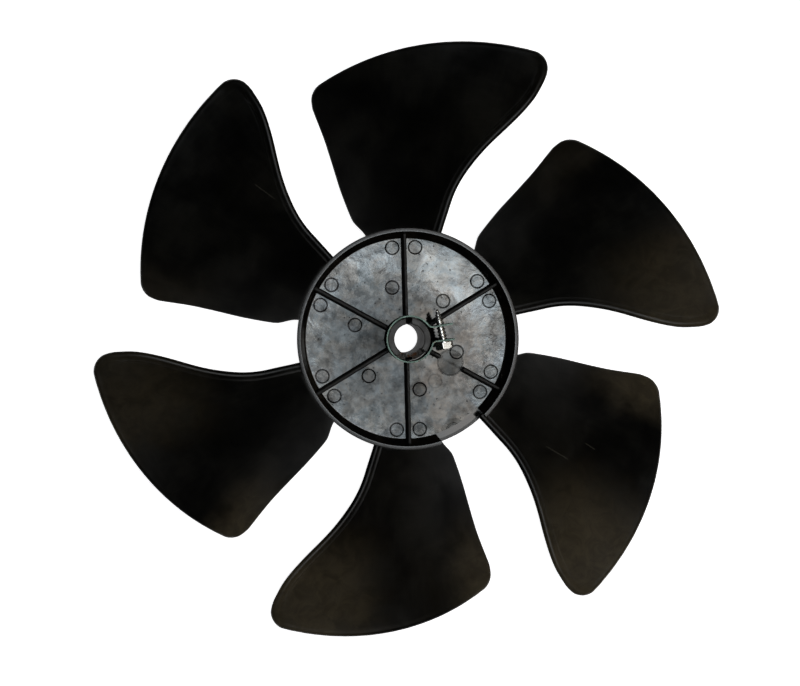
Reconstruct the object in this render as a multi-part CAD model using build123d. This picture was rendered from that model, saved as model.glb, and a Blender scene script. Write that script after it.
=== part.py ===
from build123d import *
import math
import os

# Axial fan impeller: one moulding with a split boss, drawn tight on its shaft by a sprung band and a screw.
# The origin is on the bore's axis at the drum's back edge. +Z points out of the open front of the hub.
# Lengths are in millimetres and angles in degrees.

# Hub drum
drum_radius = 47.3
drum_depth = 26.0
drum_wall = 1.7
drum_draft = 3.0
rim_rounding = 0.45
web_setback = 11.0
web_thickness = 2.2
wall_root_thickness = 2.8
web_fillet = 0.6

# Split boss and its bore
bore_radius = 6.35
boss_wall = 2.7
boss_stand_out = 5.5
slot_width = 2.7
slot_floor_above_web = 2.0

# Broken corner of the boss
break_start_angle = 231.0
break_end_angle = 322.0
break_depth = 5.2
break_tilt = 9.0

# Radial ribs on both sides of the web
rib_count = 6
rib_height = 6.6
rib_top_width = 1.2
rib_draft = 3.0
rear_rib_gap_to_edge = 1.5
band_room_above_rib = 1.8
band_room_beyond_boss = 4.2

# Way in for the tool that turns the clamp screw
notch_angle = -59.7
notch_width = 21.5
tool_pocket_radius = 5.6
tool_pocket_place = 22.0
tool_pocket_sink = 0.25

# Round marks left on the web by the mould's ejector pins
pin_mark_radius = 3.1
pin_mark_sink = 0.15
outer_pin_place = 39.8
outer_pin_offset = 22.8
inner_pin_place = 22.9
inner_pin_offset = -16.3

# Blades
blade_count = 6
tip_radius = 133.35
lead_angle_root = 19.0
lead_angle_tip = 29.0
trail_angle_root = 21.8
trail_angle_tip = 19.8
trail_root_tuck = 3.1
trail_root_tuck_length = 10.5
lead_rise_root = -2.7
lead_rise_tip = 6.9
trail_drop_root = 24.0
trail_drop_middle = 35.3
blade_camber = 0.032
blade_thickness = 2.2
trail_thickness = 1.5
bead_diameter = 3.3
bead_neck_length = 6.5
tip_middle_fall = 6.1
tip_fall = 14.7
lead_corner_angle = 28.4
lead_corner_radius = 8.0
lead_shoulder_angle = 30.4
trail_corner_angle = 19.0
trail_corner_radius = 7.5
trail_shoulder_angle = 20.6
shoulder_fall = 29.0
trim_margin = 1.0
blade_station_shares = (-0.16, -0.05, 0.02, 0.09, 0.17, 0.33, 0.52, 0.72, 0.92, 1.12)

# Sprung band clamp
band_thickness = 0.65
band_width = 9.5
band_clearance = 0.3
band_shift = 0.24
band_stand_out = 0.8
band_bend_radius = 2.2
upper_leave_angle = 40.0
upper_ear_angle = 8.5
upper_ear_point = (10.82, 4.94)
upper_ear_reach = 18.3
lower_leave_angle = -17.5
lower_ear_angle = 5.4
lower_ear_point = (14.9, -0.86)
lower_ear_reach = 19.1

# Clamp screw
screw_angle = 100.7
screw_radius = 1.9
screw_length = 14.0
screw_point_length = 4.5
screw_point_radius = 0.5
screw_head_across_flats = 7.0
screw_head_height = 2.8
screw_head_turn = 14.0
screw_head_chamfer = 35.0
washer_face_radius = 3.3
washer_face_height = 0.3
screw_hole_clearance = 0.05
lower_hole_clearance = 0.35
screw_cross_reach = 14.7
seat_gap = 0.05

# Values that follow from the sizes above
web_front = drum_depth - web_setback
web_back = web_front - web_thickness
boss_radius = bore_radius + boss_wall
boss_top = drum_depth + boss_stand_out
pitch = 360.0 / blade_count
rib_pitch = 360.0 / rib_count
first_rib_angle = rib_pitch / 2
draft_slope = math.tan(math.radians(drum_draft))
wall_root_radius = drum_radius - web_setback * draft_slope
rear_edge_radius = drum_radius - drum_depth * draft_slope
band_inner_radius = boss_radius + band_clearance
band_middle_radius = band_inner_radius + band_thickness / 2
band_front = boss_top + band_stand_out
band_back = band_front - band_width
screw_height = band_front - band_width / 2
reach_past = 5.0


def on_circle(radius, angle):
    """Point at a radius and an angle about the bore."""
    turn = math.radians(angle)
    return (radius * math.cos(turn), radius * math.sin(turn))


def ease(value, start, end):
    """Rise smoothly from 0 to 1 as the value goes from start to end."""
    share = min(max((value - start) / (end - start), 0.0), 1.0)
    return share * share * (3.0 - 2.0 * share)


# Drum, web and boss
def drum_and_boss():
    """Turned section of the drum wall, the web and the boss with its bore."""
    rear_slope = draft_slope / 2
    corners = [
        (bore_radius, 0),
        (boss_radius, 0),
        (boss_radius, web_back),
        (rear_edge_radius - drum_wall - web_back * rear_slope, web_back),
        (rear_edge_radius - drum_wall, 0),
        (rear_edge_radius, 0),
        (drum_radius, drum_depth),
        (drum_radius - drum_wall, drum_depth),
        (wall_root_radius - wall_root_thickness, web_front),
        (boss_radius, web_front),
        (boss_radius, boss_top),
        (bore_radius, boss_top),
    ]
    with BuildPart() as hub:
        with BuildSketch(Plane.XZ):
            with BuildLine():
                Polyline(*corners, close=True)
            make_face()
            outer = [vertex for vertex in vertices() if vertex.X > boss_radius + 1]
            roots = [vertex for vertex in outer if web_back - 0.01 < vertex.Z < web_front + 0.01]
            fillet(roots, web_fillet)
            rim = [vertex for vertex in vertices() if vertex.X > boss_radius + 1 and vertex.Z > web_front + 1]
            fillet(rim, rim_rounding)
        revolve(axis=Axis.Z)
    return hub.part


def rib(base, height, direction):
    """One radial rib, wider at its root on the web, from the boss to the drum wall."""
    spread = height * math.tan(math.radians(rib_draft))
    half_top = rib_top_width / 2
    top = base + direction * height
    section = [(-half_top - spread, base), (half_top + spread, base), (half_top, top), (-half_top, top)]
    start = bore_radius + boss_wall / 2
    end = rear_edge_radius - drum_wall / 2
    with BuildPart() as bar:
        with BuildSketch(Plane.YZ.offset(start)):
            with BuildLine():
                Polyline(*section, close=True)
            make_face()
        extrude(amount=end - start)
    return bar.part


def ribs():
    """Front and rear ribs. The front ones step down under the clamp's band."""
    front = rib(web_front, rib_height, 1)
    relief_radius = boss_radius + band_room_beyond_boss
    relief_floor = band_back - band_room_above_rib
    relief = Pos(0, 0, relief_floor + reach_past) * Cylinder(relief_radius, 2 * reach_past)
    front = front - relief
    rear = rib(web_back, web_back - rear_rib_gap_to_edge, -1)
    angles = [first_rib_angle + rib_pitch * turn for turn in range(rib_count)]
    return [Rot(0, 0, angle) * piece for angle in angles for piece in (front, rear)]


# Cuts in the hub
def boss_slots():
    """Two slots that let the boss close on its shaft, in line with two of the ribs."""
    floor = web_front + slot_floor_above_web
    height = boss_top - floor + reach_past
    slot = Box(2 * (boss_radius + 1), slot_width, height, align=(Align.CENTER, Align.CENTER, Align.MIN))
    return Rot(0, 0, 90) * Pos(0, 0, floor) * slot


def boss_break():
    """Room of the corner that has broken out of the boss."""
    sweep = break_end_angle - break_start_angle
    outer = boss_radius + 1
    with BuildPart() as wedge:
        with BuildSketch():
            with BuildLine():
                Line((0, 0), on_circle(outer, break_start_angle))
                CenterArc((0, 0), outer, break_start_angle, sweep)
                Line(on_circle(outer, break_end_angle), (0, 0))
            make_face()
        extrude(amount=boss_wall + break_depth)
    middle = break_start_angle + sweep / 2
    tilted = Rot(0, 0, middle) * Rot(0, break_tilt, 0) * Rot(0, 0, -middle) * wedge.part
    return Pos(0, 0, boss_top - break_depth) * tilted


def wall_notch():
    """Gap in the drum wall, down to the web."""
    depth = 2 * (wall_root_thickness + web_fillet)
    block = Box(depth, notch_width, web_setback + reach_past, align=(Align.MAX, Align.CENTER, Align.MIN))
    return Rot(0, 0, notch_angle) * Pos(drum_radius + drum_wall, 0, web_front) * block


def tool_pocket():
    """Round pocket that cuts a rib away in line with the screw."""
    place = on_circle(tool_pocket_place, -first_rib_angle)
    cut = Cylinder(tool_pocket_radius, rib_height + 1, align=(Align.CENTER, Align.CENTER, Align.MIN))
    return Pos(*place, web_front - tool_pocket_sink) * cut


def pin_marks():
    """Shallow round marks, three in each space between two ribs."""
    mark = Cylinder(pin_mark_radius, 1, align=(Align.CENTER, Align.CENTER, Align.MIN))
    marks = []
    for turn in range(rib_count):
        middle = rib_pitch * turn
        places = [
            on_circle(outer_pin_place, middle + outer_pin_offset),
            on_circle(outer_pin_place, middle - outer_pin_offset),
            on_circle(inner_pin_place, middle + inner_pin_offset),
        ]
        marks += [Pos(*place, web_front - pin_mark_sink) * mark for place in places]
    return marks


# Blades
def lead_angle(radius):
    """Angle of the leading edge ahead of the blade's middle line."""
    span = tip_radius - drum_radius
    share = ease(radius, drum_radius + 0.15 * span, drum_radius + 0.82 * span)
    return -(lead_angle_root + (lead_angle_tip - lead_angle_root) * share)


def trail_angle(radius):
    """Angle of the trailing edge behind the blade's middle line."""
    span = tip_radius - drum_radius
    share = ease(radius, drum_radius + 0.1 * span, drum_radius + 0.6 * span)
    tuck = trail_root_tuck * (1 - ease(radius, drum_radius, drum_radius + trail_root_tuck_length))
    return trail_angle_root + (trail_angle_tip - trail_angle_root) * share - tuck


def lead_height(radius):
    """Height of the leading edge."""
    span = tip_radius - drum_radius
    share = ease(radius, drum_radius + 0.1 * span, drum_radius + 0.82 * span)
    return drum_depth + lead_rise_root + (lead_rise_tip - lead_rise_root) * share


def trail_height(radius):
    """Height of the trailing edge, lowest at about six tenths of the span."""
    share = (radius - drum_radius) / (tip_radius - drum_radius)
    bend = ((0.61 - share) / 0.61) ** 2
    return drum_depth - trail_drop_middle + (trail_drop_middle - trail_drop_root) * bend


def edge_point(distance, angle_at, height_at):
    """Point where an edge of the blade crosses the plane at this distance from the bore."""
    radius = distance
    for _ in range(30):
        radius = distance / math.cos(math.radians(angle_at(radius)))
    return Vector(0, radius * math.sin(math.radians(angle_at(radius))), height_at(radius))


def blade_section(distance):
    """Section of the blade: a beaded leading edge, a cambered body and a thin trailing edge."""
    lead = edge_point(distance, lead_angle, lead_height)
    trail = edge_point(distance, trail_angle, trail_height)
    chord = (trail - lead).length
    along = (trail - lead).normalized()
    across = Vector(0, -along.Z, along.Y)
    nose = bead_diameter / 2
    tail = chord - trail_thickness / 2

    def at(place, lift):
        share = place / chord
        camber = 4 * blade_camber * chord * share * (1 - share)
        spot = lead + along * place + across * (camber + lift)
        return Vector(distance, spot.Y, spot.Z)

    def heading(place):
        slope = 4 * blade_camber * (1 - 2 * place / chord)
        return (along + across * slope).normalized()

    def run(start, end, start_thickness, end_thickness, side):
        first = at(start, side * start_thickness / 2)
        last = at(end, side * end_thickness / 2)
        third = (end - start) / 3
        return Bezier(first, first + heading(start) * third, last - heading(end) * third, last)

    neck = bead_neck_length
    with BuildLine() as outline:
        ThreePointArc(at(nose, -nose), at(0, 0), at(nose, nose))
        run(nose, neck, bead_diameter, blade_thickness, 1)
        run(neck, tail, blade_thickness, trail_thickness, 1)
        ThreePointArc(at(tail, trail_thickness / 2), at(chord, 0), at(tail, -trail_thickness / 2))
        run(neck, tail, blade_thickness, trail_thickness, -1)
        run(nose, neck, bead_diameter, blade_thickness, -1)
    return outline.wire()


def tip_outline():
    """Area that the blade keeps: it sets the tip edge and the two rounded outer corners."""
    lead_corner = on_circle(tip_radius, -lead_corner_angle)
    trail_corner = on_circle(tip_radius - tip_fall, trail_corner_angle)
    crown = on_circle(tip_radius - tip_middle_fall, (trail_corner_angle - lead_corner_angle) / 2)
    lead_shoulder = on_circle(tip_radius - shoulder_fall, -lead_shoulder_angle)
    trail_shoulder = on_circle(tip_radius - shoulder_fall, trail_shoulder_angle)
    middle_radius = (drum_radius + tip_radius) / 2
    wide_trail = on_circle(middle_radius, trail_angle_root + trim_margin)
    inner_lead = on_circle(drum_radius / 2, -lead_shoulder_angle)
    inner_trail = on_circle(drum_radius / 2, 2 * trail_angle_root)
    with BuildSketch() as area:
        with BuildLine():
            ThreePointArc(lead_corner, crown, trail_corner)
            Polyline(trail_corner, trail_shoulder, wide_trail, inner_trail)
            Polyline(inner_trail, inner_lead, lead_shoulder, lead_corner)
        make_face()
        fillet(area.vertices().sort_by_distance(lead_corner + (0,))[0], lead_corner_radius)
        fillet(area.vertices().sort_by_distance(trail_corner + (0,))[0], trail_corner_radius)
    return area.sketch


def blade():
    """One blade, lofted through its sections, trimmed at the tip and at the drum wall."""
    span = tip_radius - drum_radius
    sections = [blade_section(drum_radius + span * share) for share in blade_station_shares]
    body = Solid.make_loft(sections)
    height = drum_depth + 2 * trail_drop_middle
    keep = Pos(0, 0, -trail_drop_middle) * extrude(tip_outline(), height)
    body = body & keep
    inside = Cylinder(wall_root_radius - drum_wall / 2, 4 * drum_depth)
    return body - inside


# The moulding
def impeller():
    """Hub and blades as the one moulding that they are."""
    body = drum_and_boss()
    body = body + ribs()
    body = body - boss_slots() - boss_break() - wall_notch() - tool_pocket()
    body = body - pin_marks()
    one_blade = blade()
    blades = [Rot(0, 0, first_rib_angle + pitch * turn) * one_blade for turn in range(blade_count)]
    return body + blades


# The band clamp
def ear_line(point, angle, reach):
    """End of an ear and the direction that it runs in."""
    way = Vector(*on_circle(1, angle))
    start = Vector(*point)
    return start, way, start + way * ((reach - start.X) / way.X)


def crossing(start, way, other_start, other_way):
    """Point where two lines in the plane cross."""
    gap = other_start - start
    turn = way.X * other_way.Y - way.Y * other_way.X
    return start + way * ((gap.X * other_way.Y - gap.Y * other_way.X) / turn)


def bend(corner, before, after):
    """Round bend between two straight runs, with the points where it starts and ends."""
    turn = math.radians(before.get_angle(after))
    tangent = band_bend_radius * math.tan(turn / 2)
    start = corner - before * tangent
    end = corner + after * tangent
    return start, end


def hub_clamp():
    """Strip of spring steel round the boss, with two ears that the screw draws together."""
    upper_start, upper_way, upper_end = ear_line(upper_ear_point, upper_ear_angle, upper_ear_reach)
    lower_start, lower_way, lower_end = ear_line(lower_ear_point, lower_ear_angle, lower_ear_reach)
    ring_middle = Vector(band_shift, 0)
    upper_leave = ring_middle + Vector(*on_circle(band_middle_radius, upper_leave_angle))
    lower_leave = ring_middle + Vector(*on_circle(band_middle_radius, lower_leave_angle))
    upper_heading = Vector(*on_circle(1, upper_leave_angle - 90))
    lower_heading = Vector(*on_circle(1, lower_leave_angle + 90))
    upper_corner = crossing(upper_leave, upper_heading, upper_start, upper_way)
    lower_corner = crossing(lower_leave, lower_heading, lower_start, lower_way)
    upper_bend = bend(upper_corner, upper_heading, upper_way)
    lower_bend = bend(lower_corner, lower_heading, lower_way)
    sweep = 360 + lower_leave_angle - upper_leave_angle
    with BuildPart() as strip:
        with BuildSketch(Plane.XY.offset(band_back)):
            with BuildLine() as path:
                Line(upper_end, upper_bend[1])
                TangentArc(upper_bend[1], upper_bend[0], tangent=-upper_way)
                Line(upper_bend[0], upper_leave)
                CenterArc(ring_middle, band_middle_radius, upper_leave_angle, sweep)
                Line(lower_leave, lower_bend[0])
                TangentArc(lower_bend[0], lower_bend[1], tangent=lower_heading)
                Line(lower_bend[1], lower_end)
            trace(path.line, line_width=band_thickness)
        extrude(amount=band_width)
    body = strip.part
    halfway = (upper_start - lower_start).length / 2
    upper_hole = screw_hole(screw_radius + screw_hole_clearance, halfway, 3 * halfway)
    lower_hole = screw_hole(screw_radius + lower_hole_clearance, -halfway, halfway)
    return body - upper_hole - lower_hole


# The screw
def screw_plane():
    """Plane under the screw's head, facing along the shank towards the point."""
    way = Vector(*on_circle(1, screw_angle))
    lower_start, lower_way, _ = ear_line(lower_ear_point, lower_ear_angle, lower_ear_reach)
    cross = lower_start + lower_way * ((screw_cross_reach - lower_start.X) / lower_way.X)
    tilt = math.radians(screw_angle - 90 - lower_ear_angle)
    set_back = band_thickness / 2 / math.cos(tilt) + washer_face_radius * math.tan(abs(tilt)) + seat_gap
    origin = Vector(cross.X, cross.Y, screw_height) - way * set_back
    return Plane(origin=origin, x_dir=(0, 0, 1), z_dir=way)


def screw_hole(radius, start, end):
    """Round hole along the screw's axis, between two distances from its head."""
    hole = Cylinder(radius, end - start, align=(Align.CENTER, Align.CENTER, Align.MIN))
    return screw_plane() * Pos(0, 0, start) * hole


def screw_head():
    """Hexagonal head with its outer corners turned off."""
    flat_radius = screw_head_across_flats / 2
    corner_radius = flat_radius / math.cos(math.radians(30))
    corner_drop = (corner_radius - flat_radius) * math.tan(math.radians(screw_head_chamfer))
    base = -washer_face_height
    top = base - screw_head_height
    with BuildPart() as head:
        with BuildSketch(Plane.XY.offset(base)):
            RegularPolygon(flat_radius, 6, major_radius=False, rotation=screw_head_turn)
        extrude(amount=-screw_head_height)
        with BuildSketch(Plane.XZ):
            with BuildLine():
                Polyline(
                    (0, base),
                    (corner_radius, base),
                    (corner_radius, top + corner_drop),
                    (flat_radius, top),
                    (0, top),
                    close=True,
                )
            make_face()
        revolve(axis=Axis.Z, mode=Mode.INTERSECT)
    return head.part


def clamp_screw():
    """Hex-head screw with a tapered point."""
    seat = screw_plane()
    straight = screw_length - screw_point_length
    with BuildPart() as screw:
        with BuildSketch(Plane.XZ):
            with BuildLine():
                Polyline(
                    (0, -washer_face_height),
                    (washer_face_radius, -washer_face_height),
                    (washer_face_radius, 0),
                    (screw_radius, 0),
                    (screw_radius, straight),
                    (screw_point_radius, screw_length),
                    (0, screw_length),
                    close=True,
                )
            make_face()
        revolve(axis=Axis.Z)
        add(screw_head())
    return seat * screw.part


os.makedirs("parts", exist_ok=True)
for name, make in (("impeller", impeller), ("hub_clamp", hub_clamp), ("clamp_screw", clamp_screw)):
    export_step(make(), f"parts/{name}.step")
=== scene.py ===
import math

import bmesh
import bpy
import numpy as np
from mathutils import Matrix, Vector


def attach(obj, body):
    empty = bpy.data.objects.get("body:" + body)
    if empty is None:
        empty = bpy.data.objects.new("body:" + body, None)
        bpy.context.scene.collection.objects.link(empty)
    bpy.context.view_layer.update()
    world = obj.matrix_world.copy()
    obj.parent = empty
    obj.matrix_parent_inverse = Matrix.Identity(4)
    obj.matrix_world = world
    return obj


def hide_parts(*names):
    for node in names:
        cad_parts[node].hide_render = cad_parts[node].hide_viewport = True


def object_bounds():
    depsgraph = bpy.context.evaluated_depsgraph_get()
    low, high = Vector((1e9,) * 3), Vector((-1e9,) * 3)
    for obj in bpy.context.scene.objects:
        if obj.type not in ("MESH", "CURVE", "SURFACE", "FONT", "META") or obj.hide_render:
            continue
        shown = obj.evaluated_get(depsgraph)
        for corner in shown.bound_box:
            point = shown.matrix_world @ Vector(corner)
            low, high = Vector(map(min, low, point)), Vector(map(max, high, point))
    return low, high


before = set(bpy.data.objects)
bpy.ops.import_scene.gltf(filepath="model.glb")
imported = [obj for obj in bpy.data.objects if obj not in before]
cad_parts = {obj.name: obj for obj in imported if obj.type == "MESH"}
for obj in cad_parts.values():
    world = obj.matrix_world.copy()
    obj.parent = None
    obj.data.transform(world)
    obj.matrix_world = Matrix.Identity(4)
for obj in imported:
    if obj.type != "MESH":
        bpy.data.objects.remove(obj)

cad_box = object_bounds()
scene = bpy.context.scene

# Sizes in millimetres and degrees, as in the part's source
# Hub drum
DRUM_RADIUS = 47.3
DRUM_DEPTH = 26.0
DRUM_WALL = 1.7
DRUM_DRAFT = 3.0
WEB_SETBACK = 11.0
WEB_THICKNESS = 2.2
WALL_ROOT = 2.8
WEB_FILLET = 0.6

# Split boss
BORE_RADIUS = 6.35
BOSS_WALL = 2.7
BOSS_STAND_OUT = 5.5
SLOT_WIDTH = 2.7
SLOT_FLOOR_ABOVE_WEB = 2.0
BREAK_START = -129.0
BREAK_END = -38.0
BREAK_DEPTH = 5.2
BREAK_TILT = 9.0

# Ribs, notch, pocket and round marks
RIB_COUNT = 6
RIB_HEIGHT = 6.6
RIB_TOP_WIDTH = 1.2
RIB_DRAFT = 3.0
REAR_RIB_GAP = 1.5
RELIEF_BEYOND_BOSS = 4.2
RELIEF_UNDER_BAND = 1.8
NOTCH_ANGLE = -59.7
NOTCH_WIDTH = 21.5
POCKET_RADIUS = 5.6
POCKET_PLACE = 22.0
# Radius of each pin mark, and its angle from the middle of its space between two ribs
PIN_PLACES = ((39.8, 22.8), (39.8, -22.8), (22.9, -16.3))

# Blades
BLADE_COUNT = 6
TIP_RADIUS = 133.35
LEAD_ANGLE_ROOT = 19.0
LEAD_ANGLE_TIP = 29.0
TRAIL_ANGLE_ROOT = 21.8
TRAIL_ANGLE_TIP = 19.8
TRAIL_ROOT_TUCK = 3.1
TRAIL_ROOT_TUCK_LENGTH = 10.5
LEAD_RISE_ROOT = -2.7
LEAD_RISE_TIP = 6.9
TRAIL_DROP_ROOT = 24.0
TRAIL_DROP_MIDDLE = 35.3
CAMBER = 0.032
BODY_HALF = 1.1
TRAIL_HALF = 0.75
TIP_MIDDLE_FALL = 6.1
TIP_FALL = 14.7
LEAD_CORNER_ANGLE = 28.4
LEAD_CORNER_RADIUS = 8.0
LEAD_SHOULDER_ANGLE = 30.4
TRAIL_CORNER_ANGLE = 19.0
TRAIL_CORNER_RADIUS = 7.5
TRAIL_SHOULDER_ANGLE = 20.6
SHOULDER_FALL = 29.0

# Clamp and screw
BAND_THICKNESS = 0.65
BAND_WIDTH = 9.5
BAND_STAND_OUT = 0.8
LOWER_EAR_ANGLE = 5.4
LOWER_EAR_POINT = (14.9, -0.86)
SCREW_ANGLE = 100.7
SCREW_RADIUS = 1.9
SCREW_LENGTH = 14.0
SCREW_POINT_LENGTH = 4.5
SCREW_POINT_RADIUS = 0.5
SCREW_CROSS_REACH = 14.7
HEAD_FLAT_RADIUS = 3.5
HEAD_HEIGHT = 2.8
HEAD_TURN = 14.0
HEAD_CHAMFER = 35.0
WASHER_RADIUS = 3.3
WASHER_HEIGHT = 0.3
SEAT_GAP = 0.05

# Details that only the scene has
TIP_INSET = 0.12
BEAD_LIFT = 0.38
CREASE_DEPTH = 0.16
TIP_LIP = 0.16
BREAK_GRAIN = 0.1
NOTCH_GRAIN = 0.22
BLADE_ROOT_RADIUS = 45.5
RIB_END_RADIUS = 45.2
PIN_RING_RADIUS = 2.88
CORE_PLACE, CORE_RADIUS = (19.9, -40.4), 5.6
FAINT_PLACE = (12.2, -18.8)
SMALL_RING_RADIUS = 2.9
# X and Y of both ends of each scratch, and its width
SCRATCHES = (
    (-63.7, 67.4, -54.8, 60.4, 0.3),
    (59.0, -48.0, 69.3, -54.4, 0.35),
    (77.6, -47.8, 82.3, -51.1, 0.3),
)
THREAD_PITCH = 1.41
THREAD_CORE_RADIUS = 1.42
THREAD_POINT_CORE_RADIUS = 0.42

# Values that follow from the sizes above
WEB_FRONT = DRUM_DEPTH - WEB_SETBACK
WEB_BACK = WEB_FRONT - WEB_THICKNESS
BOSS_RADIUS = BORE_RADIUS + BOSS_WALL
BOSS_TOP = DRUM_DEPTH + BOSS_STAND_OUT
SLOT_FLOOR = WEB_FRONT + SLOT_FLOOR_ABOVE_WEB
BAND_FRONT = BOSS_TOP + BAND_STAND_OUT
RELIEF_RADIUS = BOSS_RADIUS + RELIEF_BEYOND_BOSS
RELIEF_FLOOR = BAND_FRONT - BAND_WIDTH - RELIEF_UNDER_BAND
SPAN = TIP_RADIUS - DRUM_RADIUS
SLOPE = math.tan(math.radians(DRUM_DRAFT))
RIB_SLOPE = math.tan(math.radians(RIB_DRAFT))
REAR_RADIUS = DRUM_RADIUS - DRUM_DEPTH * SLOPE
FIRST_RIB_ANGLE = 180 / RIB_COUNT

# Materials of the moulding, in the order of its slots
HUB, WEB, RIB, BLADE, TORN = range(5)


def mm(points):
    """Millimetres to metres."""
    return np.asarray(points, float) * 0.001


def polar(radius, angle):
    turn = np.radians(angle)
    return np.stack([radius * np.cos(turn), radius * np.sin(turn)], -1)


def ease(value, start, end):
    """Rise smoothly from 0 to 1 as the value goes from start to end."""
    share = np.clip((value - start) / (end - start), 0.0, 1.0)
    return share * share * (3.0 - 2.0 * share)


# A mesh that is gathered from grids
class Shape:
    def __init__(self):
        self.points = []
        self.faces = []
        self.kinds = []
        self.count = 0

    def add(self, points, faces, kinds):
        """Adds faces with their points; kinds gives a material to each face."""
        points = np.asarray(points, float).reshape(-1, 3)
        self.points.append(points)
        self.faces += [[self.count + index for index in face] for face in faces]
        self.kinds += kinds
        self.count += len(points)

    def grid(self, rows, kind=0, round_columns=False, round_rows=False, flip=False, kinds=None):
        """Quads between neighbouring rows. kinds gives a material to each face, row by row."""
        rows = np.asarray(rows, float)
        n, m = rows.shape[:2]
        faces, found = [], []
        for i in range(n if round_rows else n - 1):
            a, b = i * m, (i + 1) % n * m
            for j in range(m if round_columns else m - 1):
                k = (j + 1) % m
                face = [a + j, a + k, b + k, b + j]
                faces.append(face[::-1] if flip else face)
                found.append(kind if kinds is None else kinds[i][j])
        self.add(rows, faces, found)

    def close_ends(self, rows, kind):
        """Closes the first and the last row, each of them folded at its middle."""
        for row in (rows[0], rows[-1]):
            half = len(row) // 2
            self.grid(np.stack([row[:half], row[::-1][:half]]), kind=kind)

    def turned(self, angle, other):
        """Adds another shape, turned about the bore."""
        cosine, sine = math.cos(math.radians(angle)), math.sin(math.radians(angle))
        turn = np.array([[cosine, -sine, 0], [sine, cosine, 0], [0, 0, 1]])
        self.add(np.concatenate(other.points) @ turn.T, other.faces, other.kinds)

    def make(self, name, materials, smooth_angle=38.0):
        """A Blender object of this mesh, with its doubled points merged."""
        mesh = bpy.data.meshes.new(name)
        mesh.from_pydata(mm(np.concatenate(self.points)).tolist(), [], self.faces)
        for material in materials:
            mesh.materials.append(material)
        mesh.polygons.foreach_set("material_index", self.kinds)
        work = bmesh.new()
        work.from_mesh(mesh)
        bmesh.ops.remove_doubles(work, verts=work.verts, dist=2e-6)
        bmesh.ops.dissolve_degenerate(work, edges=work.edges, dist=1e-7)
        bmesh.ops.recalc_face_normals(work, faces=work.faces)
        work.to_mesh(mesh)
        work.free()
        mesh.polygons.foreach_set("use_smooth", [True] * len(mesh.polygons))
        mesh.set_sharp_from_angle(angle=math.radians(smooth_angle))
        thing = bpy.data.objects.new(name, mesh)
        scene.collection.objects.link(thing)
        return thing


def rounded(corners, steps=4):
    """Closed line through corners (x, y, radius), with an arc at each corner that has a radius."""
    out = []
    for index, (x, y, radius) in enumerate(corners):
        here = np.array([x, y])
        if radius <= 0:
            out.append(here)
            continue
        before = np.array(corners[index - 1][:2]) - here
        after = np.array(corners[(index + 1) % len(corners)][:2]) - here
        before /= np.linalg.norm(before)
        after /= np.linalg.norm(after)
        half = math.acos(np.clip(before @ after, -1, 1)) / 2
        reach = radius / math.tan(half)
        start, end = here + before * reach, here + after * reach
        centre = here + (before + after) / np.linalg.norm(before + after) * radius / math.sin(half)
        for step in range(steps + 1):
            spot = start + (end - start) * step / steps - centre
            out.append(centre + spot / np.linalg.norm(spot) * radius)
    return np.array(out)


# The hub
def drum(shape):
    """Drum wall, web and the boss up to its slots, turned about the bore, with the notch in the wall."""
    line = rounded([
        (BORE_RADIUS, 0, 0.4),
        (BOSS_RADIUS, 0, 0.4),
        (BOSS_RADIUS, WEB_BACK, WEB_FILLET),
        (REAR_RADIUS - DRUM_WALL - WEB_BACK * SLOPE / 2, WEB_BACK, WEB_FILLET),
        (REAR_RADIUS - DRUM_WALL, 0, 0.3),
        (REAR_RADIUS, 0, 0.4),
        (DRUM_RADIUS, DRUM_DEPTH, 0.28),
        (DRUM_RADIUS - DRUM_WALL, DRUM_DEPTH, 0.22),
        (DRUM_RADIUS - WEB_SETBACK * SLOPE - WALL_ROOT, WEB_FRONT, 0.7),
        (BOSS_RADIUS, WEB_FRONT, 0.5),
        (BOSS_RADIUS, SLOT_FLOOR, 0),
        (BORE_RADIUS, SLOT_FLOOR, 0),
    ])
    r, z = line[:, 0], line[:, 1]
    outer = r > (BOSS_RADIUS + REAR_RADIUS) / 2
    wall = outer & (z > WEB_FRONT)
    notch_half = np.degrees(np.arcsin(NOTCH_WIDTH / 2 / np.where(outer, r, BLADE_ROOT_RADIUS)))
    low = np.where(wall, WEB_FRONT, z)
    notch_reach = 13.9
    first, last = NOTCH_ANGLE + notch_reach, NOTCH_ANGLE + 360 - notch_reach
    ragged = np.where(wall, np.random.default_rng(3).normal(0, NOTCH_GRAIN, len(r)), 0)
    rings = [(angle + 0 * r, z) for angle in np.linspace(first + 0.6, last - 0.6, 330)]
    rings += [(NOTCH_ANGLE + 360 - notch_half, z), (NOTCH_ANGLE + 360 - notch_half, low)]
    rings += [(angle + 0 * r, low) for angle in np.linspace(last + 0.9, first + 360 - 0.9, 26)]
    rings += [(NOTCH_ANGLE + notch_half + ragged, low), (NOTCH_ANGLE + notch_half + ragged, z)]
    rows = [np.concatenate([polar(r, angle), height[:, None]], -1) for angle, height in rings]
    level = np.abs(z - WEB_FRONT) < 0.02
    kinds = np.where(level & np.roll(level, -1), WEB, HUB).tolist()
    shape.grid(rows, round_columns=True, round_rows=True, kinds=[kinds] * len(rings))


def bar(shape, section, stations, kind=HUB):
    """A bar along X: section gives (y, z) at each station. Both ends are closed."""
    rows = []
    for x in stations:
        flat = section(x)
        rows.append(np.concatenate([np.full((len(flat), 1), float(x)), flat], -1))
    shape.grid(rows, kind=kind)
    shape.close_ends(rows, kind)


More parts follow.
